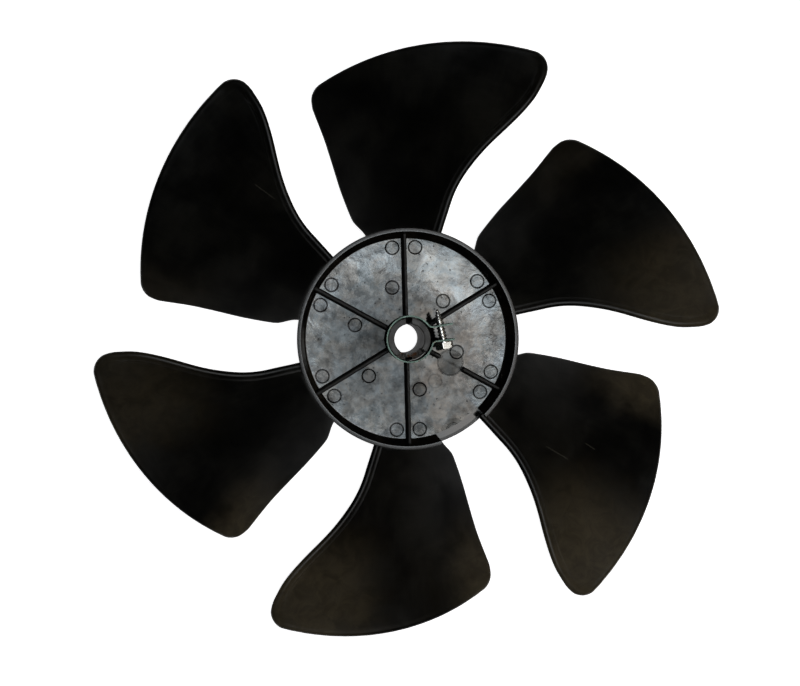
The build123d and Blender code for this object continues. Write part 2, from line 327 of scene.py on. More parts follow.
def boss_section():
    """Section of the boss over its slots, with points close enough on its top for the break."""
    foot = SLOT_FLOOR - 0.4
    line = rounded([
        (BORE_RADIUS, foot, 0),
        (BORE_RADIUS, BOSS_TOP, 0.35),
        (BOSS_RADIUS, BOSS_TOP, 0.35),
        (BOSS_RADIUS, foot, 0),
    ])
    line = np.concatenate([line[:1], line[:1] * 0.5 + line[1:2] * 0.5, line[1:]])
    across = np.linspace(BORE_RADIUS, BOSS_RADIUS, 9)[1:-1]
    top = np.stack([across, np.full(len(across), BOSS_TOP)], -1)
    cut = int(np.argmax(line[:, 0] > (BORE_RADIUS + BOSS_RADIUS) / 2))
    line = np.concatenate([line[:cut], top, line[cut:]])
    return line[:, 0], line[:, 1]


def boss_top(shape):
    """The two halves of the boss over its slots, one corner of them broken off."""
    r, z = boss_section()
    slot_half = np.degrees(np.arcsin(SLOT_WIDTH / 2 / r))
    rng = np.random.default_rng(11)
    slope = math.tan(math.radians(BREAK_TILT))
    middle = math.radians((BREAK_START + BREAK_END) / 2)

    def broken(angle):
        """Heights with the corner broken off at this angle, and which points lie on the break."""
        turn = np.radians(angle)
        floor = BOSS_TOP - BREAK_DEPTH - r * np.cos(turn - middle) * slope
        bumps = 0.25 * np.sin(turn * 17 + r * 2.1) + 0.18 * np.sin(turn * 41 - r * 3.7)
        floor = floor + bumps + rng.normal(0, BREAK_GRAIN, len(r))
        return np.where(z > floor, floor, z), z > floor

    for start, end in ((-90, 90), (90, 270)):
        edge = BREAK_END if start < 0 else BREAK_START + 360
        angles = [start + slot_half]
        angles += [a + 0 * r for a in np.arange(start + 14.5, end - 14, 2.0) if abs(a - edge) > 0.9]
        angles += [end - slot_half]
        marked = [(np.mean(a), a) for a in angles]
        marked += [(edge + side, edge + side + 0 * r) for side in (-1e-4, 1e-4)]
        marked.sort(key=lambda pair: pair[0])
        rows, lost = [], []
        for mean, angle in marked:
            gone = mean < edge if start < 0 else mean > edge
            height, cut = broken(angle) if gone else (z, z > BOSS_TOP + 1)
            rows.append(np.concatenate([polar(r, angle), height[:, None]], -1))
            lost.append(cut)
        lost = np.array(lost)
        torn = lost[:-1] & lost[1:] & np.roll(lost, -1, 1)[:-1]
        shape.grid(rows, kinds=np.where(torn, TORN, RIB).tolist())
        shape.close_ends(rows, RIB)


def stump(shape):
    """What is left of the boss in its lower slot."""
    def section(x):
        foot = SLOT_FLOOR - 0.2
        top = BOSS_TOP - BREAK_DEPTH - 0.5 + 0.25 * math.sin(x * 5)
        lean = 0.2 * math.sin(x * 7)
        return np.array([(-7.55, foot), (-7.7 + lean, top), (-6.5, top + 0.3), (-6.4, foot)])

    bar(shape, section, np.linspace(-1.5, 1.5, 9), kind=TORN)


def front_rib(start, end):
    """A front rib between two radii: rounded top, fillet at its root and the step under the clamp."""
    top = WEB_FRONT + RIB_HEIGHT
    half = RIB_TOP_WIDTH / 2
    foot = half + RIB_HEIGHT * RIB_SLOPE

    def section(x):
        crest = top - (top - RELIEF_FLOOR) * (1 - ease(x, RELIEF_RADIUS - 0.05, RELIEF_RADIUS + 0.15))
        sway = 0.05 * math.sin(x * 0.9) + 0.03 * math.sin(x * 2.3)
        side = [
            (foot + 0.5, WEB_FRONT - 0.2),
            (foot + 0.22, WEB_FRONT + 0.08),
            (foot + 0.04, WEB_FRONT + 0.4),
            (half + (foot - half) * 0.5, WEB_FRONT + RIB_HEIGHT * 0.5),
            (half + 0.02, crest - 0.3),
            (half - 0.08, crest - 0.09),
            (half - 0.3, crest),
        ]
        return np.array([(-y, z) for y, z in side] + side[::-1]) + np.array([[sway * 0.5, 0.0]])

    made = Shape()
    steps = np.concatenate([np.arange(start, end, 1.0), [RELIEF_RADIUS, RELIEF_RADIUS + 0.1, end]])
    stations = [x for x in sorted(set(np.round(steps, 3))) if start <= x <= end]
    bar(made, section, stations, kind=RIB)
    return made


def rear_rib():
    """One rear rib, from the boss to the drum wall."""
    half = RIB_TOP_WIDTH / 2
    foot = half + (WEB_BACK - REAR_RIB_GAP) * RIB_SLOPE
    side = [(foot, WEB_BACK + 0.2), (half, REAR_RIB_GAP + 0.25), (half - 0.25, REAR_RIB_GAP)]
    flat = np.array([(-y, z) for y, z in side] + side[::-1])
    made = Shape()
    bar(made, lambda x: flat, np.linspace(BOSS_RADIUS - 0.4, REAR_RADIUS - 1.2, 12))
    return made


# The blades
def lead_angle(radius):
    """Angle of the leading edge ahead of the blade's middle line."""
    share = ease(radius, DRUM_RADIUS + 0.15 * SPAN, DRUM_RADIUS + 0.82 * SPAN)
    return -(LEAD_ANGLE_ROOT + (LEAD_ANGLE_TIP - LEAD_ANGLE_ROOT) * share)


def trail_angle(radius):
    """Angle of the trailing edge behind the blade's middle line."""
    share = ease(radius, DRUM_RADIUS + 0.1 * SPAN, DRUM_RADIUS + 0.6 * SPAN)
    tuck = TRAIL_ROOT_TUCK * (1 - ease(radius, DRUM_RADIUS, DRUM_RADIUS + TRAIL_ROOT_TUCK_LENGTH))
    return TRAIL_ANGLE_ROOT + (TRAIL_ANGLE_TIP - TRAIL_ANGLE_ROOT) * share - tuck


def lead_height(radius):
    share = ease(radius, DRUM_RADIUS + 0.1 * SPAN, DRUM_RADIUS + 0.82 * SPAN)
    return DRUM_DEPTH + LEAD_RISE_ROOT + (LEAD_RISE_TIP - LEAD_RISE_ROOT) * share


def trail_height(radius):
    """Height of the trailing edge, lowest at about six tenths of the span."""
    share = (radius - DRUM_RADIUS) / SPAN
    bend = ((0.61 - share) / 0.61) ** 2
    return DRUM_DEPTH - TRAIL_DROP_MIDDLE + (TRAIL_DROP_MIDDLE - TRAIL_DROP_ROOT) * bend


def edge_at(x, angle_at, height_at):
    """Y and Z of a blade's edge at this X."""
    radius = np.array(x, float)
    for _ in range(40):
        radius = x / np.cos(np.radians(angle_at(radius)))
    return radius * np.sin(np.radians(angle_at(radius))), height_at(radius)


def middle_height(x, y):
    """Height of the blade's middle surface, and how far along the chord the point lies."""
    lead_y, lead_z = edge_at(x, lead_angle, lead_height)
    trail_y, trail_z = edge_at(x, trail_angle, trail_height)
    chord = np.hypot(trail_y - lead_y, trail_z - lead_z)
    along_y, along_z = (trail_y - lead_y) / chord, (trail_z - lead_z) / chord
    share = (y - lead_y) / (trail_y - lead_y)
    for _ in range(6):
        rise = 4 * CAMBER * chord * share * (1 - share)
        share = (y - lead_y + along_z * rise) / (along_y * chord)
    rise = 4 * CAMBER * chord * share * (1 - share)
    return lead_z + along_z * chord * share + along_y * rise, share


def surface(spots):
    """Points of the blade's middle surface over these places in plan."""
    return np.concatenate([spots, middle_height(spots[..., 0], spots[..., 1])[0][..., None]], -1)


def surface_normals(plan, step=0.05):
    """Normals of the blade's middle surface, from how it rises over a small step."""
    height = surface(plan)[..., 2]
    dx = (surface(plan + [step, 0])[..., 2] - height) / step
    dy = (surface(plan + [0, step])[..., 2] - height) / step
    normal = np.stack([-dx, -dy, np.ones_like(dx)], -1)
    return normal / np.linalg.norm(normal, axis=-1, keepdims=True)


def circle_through(a, b, c):
    """Centre and radius of the circle through three points."""
    rows = np.array([b - a, c - a])
    centre = a + np.linalg.solve(2 * rows, (rows ** 2).sum(1))
    return centre, np.linalg.norm(a - centre)


def corner_circle(start, end, side, radius, tip_centre, tip_radius):
    """Circle inside the blade that touches the straight line at one of its corners and its tip."""
    way = (end - start) / np.linalg.norm(end - start)
    inward = side * np.array([-way[1], way[0]])
    low, high = 0.0, 60.0
    for _ in range(60):
        reach = (low + high) / 2
        centre = start + way * reach + inward * radius
        if np.linalg.norm(centre - tip_centre) < tip_radius - radius:
            low = reach
        else:
            high = reach
    out = centre - tip_centre
    touch = tip_centre + out / np.linalg.norm(out) * tip_radius
    return start + way * reach, centre, touch


def edge_to_corner(angle_at, start, foot, side):
    """A blade's edge from the drum out to the straight line at its corner, and on along that line."""
    radius = np.linspace(BLADE_ROOT_RADIUS, TIP_RADIUS, 500)
    edge = polar(radius, angle_at(radius))
    way = foot - start
    inside = side * (way[0] * (edge[:, 1] - start[1]) - way[1] * (edge[:, 0] - start[0])) > 0
    edge = edge[:int(np.argmax(~inside & (radius > (DRUM_RADIUS + TIP_RADIUS) / 2)))]
    return np.concatenate([edge, edge[-1] + (foot - edge[-1]) * np.linspace(0, 1, 12)[1:-1, None]])


def arc_points(centre, start, end, count):
    """Points on the shorter arc about a centre, from start to end."""
    a0 = math.atan2(*(start - centre)[::-1])
    a1 = math.atan2(*(end - centre)[::-1])
    turn = (a1 - a0 + math.pi) % (2 * math.pi) - math.pi
    spots = a0 + turn * np.linspace(0, 1, count)
    return centre + np.linalg.norm(start - centre) * np.stack([np.cos(spots), np.sin(spots)], -1)


def along_line(line, shares):
    """Points at these shares of a line's length."""
    length = np.concatenate([[0], np.cumsum(np.linalg.norm(np.diff(line, axis=0), axis=1))])
    at = np.asarray(shares) * length[-1]
    return np.stack([np.interp(at, length, line[:, 0]), np.interp(at, length, line[:, 1])], -1)


def from_rim(spots, total, count):
    """Places along a length: close together at both ends, even between."""
    inner = np.linspace(spots[-1], total - spots[-1], count + 2)[1:-1]
    return np.concatenate([spots, inner, total - np.array(spots)[::-1]]) / total


def blade_edges():
    """The blade's edges in plan: leading, trailing, tip and root. The tip shares its two rounded corners."""
    lead_corner = polar(TIP_RADIUS, -LEAD_CORNER_ANGLE)
    trail_corner = polar(TIP_RADIUS - TIP_FALL, TRAIL_CORNER_ANGLE)
    crown = polar(TIP_RADIUS - TIP_MIDDLE_FALL, (TRAIL_CORNER_ANGLE - LEAD_CORNER_ANGLE) / 2)
    lead_shoulder = polar(TIP_RADIUS - SHOULDER_FALL, -LEAD_SHOULDER_ANGLE)
    trail_shoulder = polar(TIP_RADIUS - SHOULDER_FALL, TRAIL_SHOULDER_ANGLE)
    centre, radius = circle_through(lead_corner, crown, trail_corner)
    circle = centre, radius - TIP_INSET
    foot_l, centre_l, touch_l = corner_circle(lead_shoulder, lead_corner, 1, LEAD_CORNER_RADIUS, *circle)
    foot_t, centre_t, touch_t = corner_circle(trail_shoulder, trail_corner, -1, TRAIL_CORNER_RADIUS, *circle)
    half = 20
    arc_l = arc_points(centre_l, foot_l, touch_l, 2 * half + 1)
    arc_t = arc_points(centre_t, foot_t, touch_t, 2 * half + 1)
    lead = np.concatenate([edge_to_corner(lead_angle, lead_shoulder, foot_l, 1), arc_l[:half + 1]])
    trail = np.concatenate([edge_to_corner(trail_angle, trail_shoulder, foot_t, -1), arc_t[:half + 1]])
    crest = arc_points(centre, touch_l, touch_t, 160)
    tip = np.concatenate([arc_l[half:-1], crest, arc_t[half:-1][::-1]])
    ends = lead_angle(BLADE_ROOT_RADIUS), trail_angle(BLADE_ROOT_RADIUS)
    root = polar(BLADE_ROOT_RADIUS, np.linspace(*ends, 80))
    return lead, trail, tip, root


def blade_plan(lead, trail, tip, root):
    """Grid of places between the blade's four edges, closer together near them."""
    near_root = [0, 0.4, 0.8, 1.3, 1.9, 2.6, 3.4, 4.4]
    near_tip = [0, 0.08, 0.25, 0.5, 0.8, 1.15, 1.55, 2.0, 2.6, 3.4, 4.6]
    near_edge = [0, 0.06, 0.2, 0.42, 0.7, 1.05, 1.4, 1.75, 2.1, 2.4, 2.7, 3.0, 3.3, 3.6, 4.0, 4.6, 5.5]
    edge_length = 92.0
    v = from_rim(near_root, edge_length, 34)
    outer = 1 - np.array(near_tip) / edge_length
    v = np.concatenate([v[v < outer[-1] - 0.01], outer[::-1]])
    rows = []
    for share, a, b in zip(v, along_line(lead, v), along_line(trail, v)):
        u = from_rim(near_edge, np.linalg.norm(b - a), 26)[:, None]
        between_ends = (1 - share) * along_line(root, u[:, 0]) + share * along_line(tip, u[:, 0])
        between_sides = (1 - u) * a + u * b
        inner_corners = (1 - u) * lead[0] + u * trail[0]
        outer_corners = (1 - u) * lead[-1] + u * trail[-1]
        rows.append(between_ends + between_sides - ((1 - share) * inner_corners + share * outer_corners))
    return np.array(rows)


def blade():
    """One blade as a closed skin: beaded leading edge, thin trailing edge, flared into the drum."""
    lead, trail, tip, root = blade_edges()
    plan = blade_plan(lead, trail, tip, root)
    spots = surface(plan)
    normal = surface_normals(plan)
    radius = np.hypot(plan[..., 0], plan[..., 1])

    def distance(line):
        """From each point of the blade to an edge, measured on the surface's slope."""
        dense = surface(along_line(line, np.linspace(0, 1, 500)))
        gap = [np.sqrt(((point - dense) ** 2).sum(-1).min()) for point in spots.reshape(-1, 3)]
        return np.array(gap).reshape(radius.shape)

    d_lead, d_trail, d_tip = distance(lead), distance(trail), distance(tip)
    share = np.clip(middle_height(plan[..., 0], plan[..., 1])[1], 0, 1)
    body = BODY_HALF + (TRAIL_HALF - BODY_HALF) * share
    bead = BEAD_LIFT * (1 - ease(d_lead, 2.0, 3.9))
    crease = -CREASE_DEPTH * (0.25 + 0.75 * ease(radius, 80, 122)) * np.exp(-((d_lead - 3.75) / 0.32) ** 2)
    lip = TIP_LIP * np.exp(-((d_tip - 1.3) / 0.7) ** 2)
    gap = np.minimum(np.minimum(d_lead / 1.65, d_trail / 0.85), d_tip / 1.3)
    round_off = np.sqrt(np.clip(1 - (1 - np.clip(gap, 0, 1)) ** 2, 0, 1))
    to_drum = radius - (DRUM_RADIUS - (DRUM_DEPTH - spots[..., 2]) * SLOPE)
    close = 1 - np.clip(to_drum / 1.6, 0, 1)
    flare = (1 - np.sqrt(1 - close ** 2)) * ease(d_lead, 0.5, 6) * ease(d_trail, 0.2, 2.5)
    front = (body + bead + crease + lip) * round_off + flare
    back = (body + bead + lip * 0.4) * round_off + flare
    made = Shape()
    made.grid(spots + normal * front[..., None], kind=BLADE)
    made.grid(spots - normal * back[..., None], kind=BLADE, flip=True)
    return made


def moulding(materials):
    """Hub and blades as the one moulding that they are."""
    shape = Shape()
    drum(shape)
    boss_top(shape)
    stump(shape)
    inner = BOSS_RADIUS - 0.4
    for turn in range(RIB_COUNT):
        angle = FIRST_RIB_ANGLE + 360 / RIB_COUNT * turn
        stretches = [(inner, RIB_END_RADIUS)]
        if turn == RIB_COUNT - 1:
            near_pocket, past_pocket = POCKET_PLACE - POCKET_RADIUS, POCKET_PLACE + POCKET_RADIUS
            stretches = [(inner, near_pocket), (past_pocket, RIB_END_RADIUS)]
        for start, end in stretches:
            shape.turned(angle, front_rib(start, end))
        shape.turned(angle, rear_rib())
    one = blade()
    for turn in range(BLADE_COUNT):
        shape.turned(FIRST_RIB_ANGLE + 360 / BLADE_COUNT * turn, one)
    made = shape.make("impeller_moulding", materials)
    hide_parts("impeller")
    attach(made, "root")
    return made


# The screw, with its thread
def screw_frame():
    """Origin under the screw's head, and its axes as rows, the last one along the shank."""
    way = np.array([*polar(1.0, SCREW_ANGLE), 0.0])
    ear = polar(1.0, LOWER_EAR_ANGLE)
    cross = np.array(LOWER_EAR_POINT) + ear * ((SCREW_CROSS_REACH - LOWER_EAR_POINT[0]) / ear[0])
    tilt = math.radians(SCREW_ANGLE - 90 - LOWER_EAR_ANGLE)
    back = BAND_THICKNESS / 2 / math.cos(tilt) + WASHER_RADIUS * math.tan(abs(tilt)) + SEAT_GAP
    origin = np.array([*cross, BAND_FRONT - BAND_WIDTH / 2]) - way * back
    up = np.array([0.0, 0.0, 1.0])
    return origin, np.stack([up, np.cross(way, up), way])


def round_row(radius, around, height):
    """Points about the screw's axis; the radius may differ from one to the next."""
    return np.stack([radius * np.cos(around), radius * np.sin(around), 0 * around + height], -1)


def thread_rows(around):
    """The shank with its thread, which tapers to a blunt point."""
    rows = []
    for height in np.linspace(-0.1, SCREW_LENGTH, 240):
        phase = (height / THREAD_PITCH - around / (2 * math.pi)) % 1.0
        crest = np.clip(1 - np.abs(phase - 0.5) / 0.3, 0, 1) * ease(height, 0.3, 1.2)
        taper = np.clip((height - SCREW_LENGTH + SCREW_POINT_LENGTH) / SCREW_POINT_LENGTH, 0, 1)
        core = THREAD_CORE_RADIUS + (THREAD_POINT_CORE_RADIUS - THREAD_CORE_RADIUS) * taper
        core = core * (1 - 0.6 * ease(height, SCREW_LENGTH - 0.5, SCREW_LENGTH))
        full = SCREW_RADIUS + (SCREW_POINT_RADIUS - SCREW_RADIUS) * taper
        radius = core + (max(full, core) - core) * np.minimum(crest * 1.25, 1)
        rows.append(round_row(radius, around, height))
    return rows


def head_rows(around):
    """The hexagonal head from its washer face to its chamfered top."""
    fold = (np.degrees(around) - HEAD_TURN + 30.0) % 60.0 - 30.0
    hexagon = np.minimum(HEAD_FLAT_RADIUS / np.cos(np.radians(fold)), 3.98)
    corner = HEAD_FLAT_RADIUS / math.cos(math.radians(30))
    drop = (corner - HEAD_FLAT_RADIUS) * math.tan(math.radians(HEAD_CHAMFER))
    base = -WASHER_HEIGHT
    top = base - HEAD_HEIGHT
    steps = [(1.8, 0.02), (WASHER_RADIUS, 0.0), (WASHER_RADIUS, base + 0.04), (WASHER_RADIUS - 0.06, base),
             (WASHER_RADIUS + 0.1, base), (corner, base - 0.06)]
    for share in np.linspace(0, 1, 7):
        steps.append((corner + (HEAD_FLAT_RADIUS - corner) * share, top + drop * (1 - share)))
    steps += [(3.3, top), (2.9, top), (2.2, top + 0.02), (1.0, top + 0.03)]
    return [round_row(np.minimum(hexagon, limit), around, height) for limit, height in steps]


def screw(material):
    shape = Shape()
    for make_rows, step in ((thread_rows, 6.0), (head_rows, 2.0)):
        rows = make_rows(np.radians(np.arange(0, 360, step)))
        shape.grid(rows, round_columns=True)
        shape.add(rows[-1], [list(range(len(rows[-1])))], [0])
    origin, axes = screw_frame()
    shape.points = [points @ axes + origin for points in shape.points]
    made = shape.make("clamp_screw_threaded", [material], 30.0)
    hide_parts("clamp_screw")
    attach(made, "root")
    return made


# Camera, at the photograph's place and angle
CAMERA_PLACE = (-46.79, 8.70)
CAMERA_HEIGHT = 525.95
CAMERA_PAN = 1.48
CAMERA_TILT_X = 0.00745218
CAMERA_TILT_Y = 0.03948417
CAMERA_SHIFT = (0.0691, -0.0197)
FOCAL_PIXELS = 1180.714
PHOTO_WIDTH_PIXELS = 800.0
SENSOR_WIDTH = 36.0


def set_camera():
    pan = Matrix.Rotation(math.radians(CAMERA_PAN), 3, "Z")
    to_camera = Matrix.Rotation(CAMERA_TILT_Y, 3, "Y") @ Matrix.Rotation(CAMERA_TILT_X, 3, "X") @ pan
    place = pan.transposed() @ Vector((*CAMERA_PLACE, 0.0))
    place.z = CAMERA_HEIGHT
    data = bpy.data.cameras.new("camera")
    data.sensor_width = SENSOR_WIDTH
    data.lens = SENSOR_WIDTH * FOCAL_PIXELS / PHOTO_WIDTH_PIXELS
    data.shift_x, data.shift_y = CAMERA_SHIFT
    data.clip_start = 0.01
    data.clip_end = 20.0
    camera = bpy.data.objects.new("camera", data)
    scene.collection.objects.link(camera)
    camera.matrix_world = Matrix.Translation(place * 0.001) @ to_camera.transposed().to_4x4()
    scene.camera = camera


# Nodes of a material, written in short
class Nodes:
    def __init__(self, name):
        self.material = bpy.data.materials.new(name)
        self.material.use_nodes = True
        self.tree = self.material.node_tree
        self.shader = self.tree.nodes["Principled BSDF"]
        metres = self.tree.nodes.new("ShaderNodeTexCoord").outputs["Object"]
        self.place = self.node("ShaderNodeVectorMath", {0: metres, "Scale": 1000.0}, operation="SCALE")
        parts = self.tree.nodes.new("ShaderNodeSeparateXYZ")
        self.put(parts.inputs[0], self.place)
        self.x, self.y, self.z = parts.outputs

    def put(self, socket, value):
        if isinstance(value, bpy.types.NodeSocket):
            self.tree.links.new(value, socket)
        else:
            socket.default_value = value

    def surface(self, **values):
        """Sets sockets of the shader; a name's underscores stand for spaces."""
        for name, value in values.items():
            self.put(self.shader.inputs[name.replace("_", " ")], value)

    def node(self, kind, inputs, output=0, **settings):
        node = self.tree.nodes.new(kind)
        for key, value in settings.items():
            setattr(node, key, value)
        for key, value in inputs.items():
            self.put(node.inputs[key], value)
        return node.outputs[output]

    def math(self, operation, first, second=0.0, third=0.0):
        return self.node("ShaderNodeMath", {0: first, 1: second, 2: third}, operation=operation)

    def noise(self, size, detail=2.0, roughness=0.5, distortion=0.0, vector=None):
        """Noise with features of about this size in millimetres."""
        return self.node(
            "ShaderNodeTexNoise",
            {"Vector": vector or self.place, "Scale": 1.0 / size, "Detail": detail, "Roughness": roughness,
             "Distortion": distortion},
        )

    def steps(self, value, start, end, low=0.0, high=1.0):
        """Goes smoothly from low to high as the value goes from start to end."""
        return self.node(
            "ShaderNodeMapRange",
            {"Value": value, "From Min": start, "From Max": end, "To Min": low, "To Max": high},
            interpolation_type="SMOOTHSTEP",
        )

    def colours(self, share, first, second):
        """Mix of two colours, the second one by this share."""
        return self.node("ShaderNodeMix", {"Factor": share, 6: first, 7: second}, output=2, data_type="RGBA")

    def stretched(self, scale):
        """The place with each axis scaled."""
        return self.node("ShaderNodeMapping", {"Vector": self.place, "Scale": scale})

    def join(self, x, y, z=0.0):
        return self.node("ShaderNodeCombineXYZ", {0: x, 1: y, 2: z})

    def bump(self, height, strength, distance, normal=None):
        """Bump whose height of 1 stands for this many millimetres."""
        inputs = {"Height": height, "Strength": strength, "Distance": distance * 0.001}
        if normal is not None:
            inputs["Normal"] = normal
        return self.node("ShaderNodeBump", inputs)

    def edge(self, radius):
        """Normal with edges rounded by this many millimetres."""
        return self.node("ShaderNodeBevel", {"Radius": radius * 0.001}, samples=4)

    def gap_to(self, x, y, spot_x, spot_y):
        """Distance in plan from a place to a spot."""
        dx = self.math("SUBTRACT", x, spot_x)
        dy = self.math("SUBTRACT", y, spot_y)
        return self.math("SQRT", self.math("MULTIPLY_ADD", dx, dx, self.math("MULTIPLY", dy, dy)))

    def radius(self):
        """Distance from the bore's axis."""
        return self.gap_to(self.x, self.y, 0.0, 0.0)

    def angle(self):
        """Angle about the bore's axis, in radians."""
        return self.math("ARCTAN2", self.y, self.x)

    def ring(self, gap, radius, width):
        off = self.math("ABSOLUTE", self.math("SUBTRACT", gap, radius))
        return self.steps(off, width * 0.35, width, 1.0, 0.0)

    def scratch(self, x0, y0, x1, y1, width):
        """A faint line between two places."""
        length = math.hypot(x1 - x0, y1 - y0)
        way_x, way_y = (x1 - x0) / length, (y1 - y0) / length
        dx = self.math("SUBTRACT", self.x, x0)
        dy = self.math("SUBTRACT", self.y, y0)
        along = self.math("MULTIPLY_ADD", dx, way_x, self.math("MULTIPLY", dy, way_y))
        aside = self.math("ABSOLUTE", self.math("MULTIPLY_ADD", dx, way_y, self.math("MULTIPLY", dy, -way_x)))
        from_middle = self.math("ABSOLUTE", self.math("SUBTRACT", along, length / 2))
        ends = self.steps(from_middle, length * 0.4, length / 2, 1.0, 0.0)
        return self.math("MULTIPLY", ends, self.steps(aside, width * 0.4, width, 1.0, 0.0))

    def most(self, *values):
        """The greatest of several values."""
        out = values[0]
        for value in values[1:]:
            out = self.math("MAXIMUM", out, value)
        return out


def colour(r, g, b):
    return (r, g, b, 1.0)


BLACK = colour(0.001, 0.001, 0.001)
BROWN = colour(0.012, 0.01, 0.007)


def finish_plastic(made, base, rough, normal):
    made.surface(Base_Color=base, Roughness=rough, Normal=normal, IOR=1.5)
    return made.material


def hub_plastic():
    """Walls, rim and back of the moulding, with fine drag lines; the rim and the bore are duller."""
    made = Nodes("hub_plastic")
    cloud = made.noise(9.0, 4.0, 0.6)
    speck = made.noise(0.7, 3.0, 0.7)
    radius = made.radius()
    around = made.math("MULTIPLY", made.angle(), 30.0)
    drag = made.noise(1.0, 3.0, 0.6, vector=made.join(around, made.math("MULTIPLY", radius, 5.0), made.z))
    base = made.colours(made.steps(cloud, 0.35, 0.7), colour(0.004, 0.0035, 0.003), BROWN)
    rim = made.steps(radius, DRUM_RADIUS - 1.6, DRUM_RADIUS - 1.2)
    bore = made.steps(radius, 10.2, 10.6, 1.0, 0.0)
    rough = made.math("ADD", made.steps(cloud, 0.3, 0.7, 0.07, 0.12), made.steps(drag, 0.3, 0.7, -0.02, 0.04))
    rough = made.math("MULTIPLY_ADD", rim, 0.17, made.math("MULTIPLY_ADD", bore, 0.5, rough))
    sheen = made.math("MULTIPLY_ADD", rim, -0.14, made.math("MULTIPLY_ADD", bore, -0.45, 0.5))
    made.surface(Specular_IOR_Level=sheen)
    low = made.bump(drag, made.math("MULTIPLY_ADD", rim, 0.5, 0.1), 0.05, made.edge(0.18))
    return finish_plastic(made, base, rough, made.bump(speck, 0.3, 0.01, low))


def web_marks(made, radius):
    """Masks of the marks on the web: pins, the tool pocket with the trace of its rib, and two more cores."""
    angle = made.angle()
    sector = made.math("ROUND", made.math("DIVIDE", angle, math.pi / 3))
    folded = made.math("MULTIPLY_ADD", sector, -math.pi / 3, angle)
    fold_x = made.math("MULTIPLY", radius, made.math("COSINE", folded))
    fold_y = made.math("MULTIPLY", radius, made.math("SINE", folded))
    rings, discs = [], []
    for place, turn in PIN_PLACES:
        gap = made.gap_to(fold_x, fold_y, *polar(place, turn).tolist())
        rings.append(made.ring(gap, PIN_RING_RADIUS, 0.34))
        discs.append(made.steps(gap, 2.6, 2.9, 1.0, 0.0))
    pocket_gap = made.gap_to(made.x, made.y, *polar(POCKET_PLACE, -FIRST_RIB_ANGLE).tolist())
    pocket = made.steps(pocket_gap, POCKET_RADIUS - 0.25, POCKET_RADIUS, 1.0, 0.0)
    across = made.math("MULTIPLY_ADD", made.x, 0.5, made.math("MULTIPLY", made.y, 0.866))
    on_rib = made.steps(made.math("ABSOLUTE", across), 0.35, 0.75, 1.0, 0.0)
    core_gap = made.gap_to(made.x, made.y, *CORE_PLACE)
    return {
        "pin_ring": made.most(*rings),
        "pin_disc": made.most(*discs),
        "pocket": pocket,
        "pocket_ring": made.ring(pocket_gap, POCKET_RADIUS - 0.1, 0.3),
        "trace": made.math("MULTIPLY", pocket, on_rib),
        "core": made.steps(core_gap, CORE_RADIUS - 0.4, CORE_RADIUS, 1.0, 0.0),
        "core_ring": made.ring(core_gap, SMALL_RING_RADIUS, 0.5),
        "faint_ring": made.ring(made.gap_to(made.x, made.y, *FAINT_PLACE), SMALL_RING_RADIUS, 0.5),
    }


